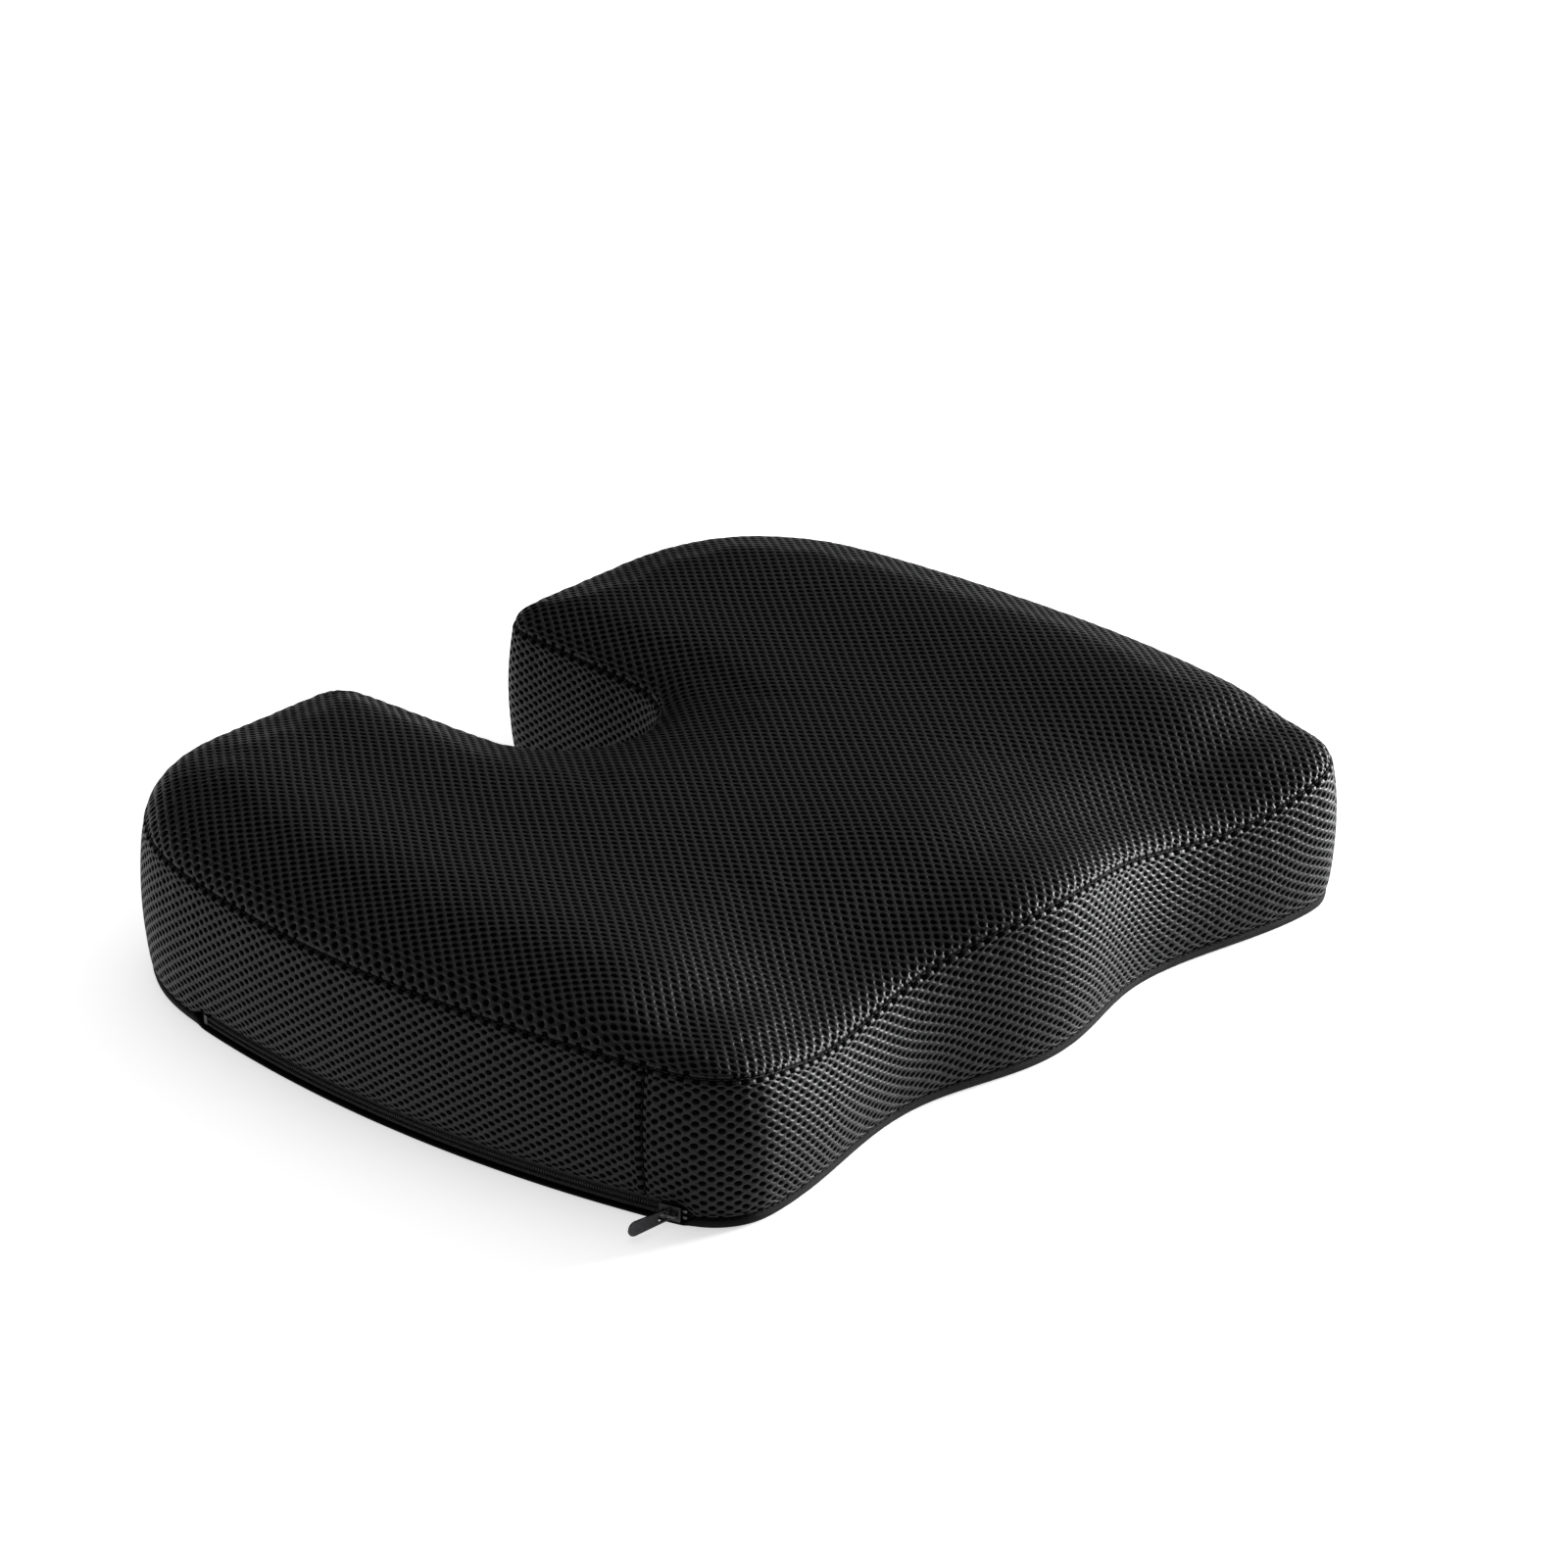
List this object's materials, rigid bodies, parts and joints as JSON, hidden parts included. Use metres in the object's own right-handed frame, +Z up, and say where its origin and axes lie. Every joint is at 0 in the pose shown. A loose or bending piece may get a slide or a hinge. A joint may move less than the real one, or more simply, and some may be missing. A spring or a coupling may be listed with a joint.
{
  "type": "seat cushion",
  "caption": "Contoured foam seat cushion with a U-shaped tailbone notch, scalloped front edge and zipped, removable mesh cover.",
  "frame": {"origin": "middle of the underside, on the surface that the cushion lies on", "axes": "+Z up out of the seat; the scalloped front edge faces -Y, the notch opens to +Y, +X is the sitter's left, and the zip is on the -X side"},
  "size_m": [0.451, 0.371, 0.0803],
  "materials": {
    "memory_foam": "open-cell polyurethane memory foam with a matt moulded skin",
    "air_mesh": "black three-layer polyester air mesh with round holes in staggered rows, matt with a faint sheen on the yarn",
    "base_cloth": "black close-knit base cloth, matt, without holes",
    "sewing_thread": "black spun polyester thread",
    "zip_tape": "black woven polyester tape",
    "zip_coil": "black nylon monofilament, satin",
    "zip_metal": "die-cast zinc with a dark gunmetal plating, satin"
  },
  "bodies": {
    "cushion": {"foam_core": "memory_foam", "top_panel": "air_mesh", "front_boxing": "air_mesh", "rear_boxing": "air_mesh", "bottom_panel": "base_cloth", "top_seam_thread": "sewing_thread", "bottom_seam_thread": "sewing_thread", "left_seam_thread": "sewing_thread", "right_seam_thread": "sewing_thread", "zip_tape_upper": "zip_tape", "zip_tape_lower": "zip_tape", "zip_coil_upper": "zip_coil", "zip_coil_lower": "zip_coil", "zip_top_stop_upper": "zip_metal", "zip_top_stop_lower": "zip_metal", "zip_bottom_stop": "zip_metal"},
    "slider": {"zip_slider": "zip_metal"},
    "pull": {"zip_pull": "zip_metal"}
  },
  "joints": [
    {"name": "zip_run", "type": "hinge", "parent": "cushion", "child": "slider", "pos_m": [0.3775, 0, 0.005], "axis": [0, 0, -1], "range_deg": [0, 23.2]},
    {"name": "zip_pull_swing", "type": "hinge", "parent": "slider", "child": "pull", "pos_m": [-0.20264, -0.15641, 0.005], "axis": [0, 0, 1], "range_deg": [-43, 87]}
  ]
}
